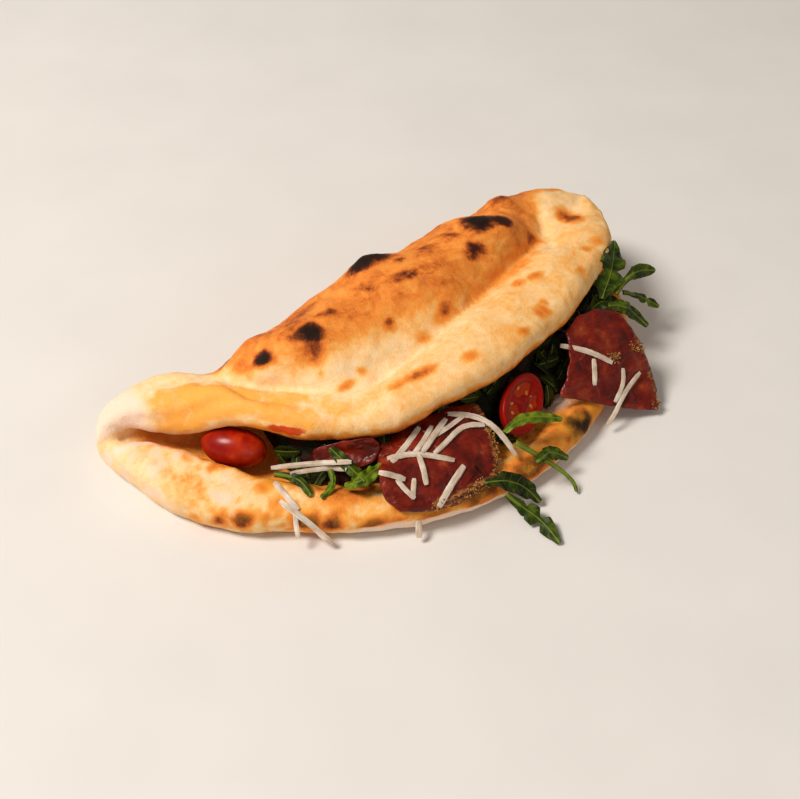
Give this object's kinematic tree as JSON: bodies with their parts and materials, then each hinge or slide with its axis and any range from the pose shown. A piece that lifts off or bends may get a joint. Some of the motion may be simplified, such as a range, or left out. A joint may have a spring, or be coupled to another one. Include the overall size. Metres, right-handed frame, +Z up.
{
  "type": "calzone",
  "caption": "Folded baked calzone with a puffed, charred lid, open along its front over rocket, cured beef, cherry tomato and cheese shavings.",
  "frame": {"origin": "on the resting plane under the flat base, near the middle of the fold's length", "axes": "+X along the fold, from the pale narrow tip to the broad lobe; -Y out of the open mouth; +Z up"},
  "size_m": [0.2714, 0.1769, 0.0642],
  "materials": {
    "dough": "matt baked crust",
    "filling": "moist leaves",
    "tomato": "glossy skin",
    "ham": "moist cured meat",
    "rocket": "satin leaf"
  },
  "bodies": {
    "root": {"dough": "dough", "filling": "filling", "tomato_whole": "tomato", "tomato_cut": "tomato", "ham_front": "ham", "ham_right": "ham", "ham_inner": "ham", "rocket_left_blade": "rocket", "rocket_left_wide": "rocket", "rocket_left_sprig": "rocket", "rocket_left_stalk": "rocket", "rocket_front_fold": "rocket", "rocket_front_stalk": "rocket", "rocket_front_wing": "rocket", "rocket_front_dark": "rocket", "rocket_front_tip": "rocket", "rocket_right_top": "rocket", "rocket_right_round": "rocket", "rocket_right_sprig": "rocket", "rocket_right_broad": "rocket", "rocket_right_low": "rocket"}
  },
  "joints": []
}
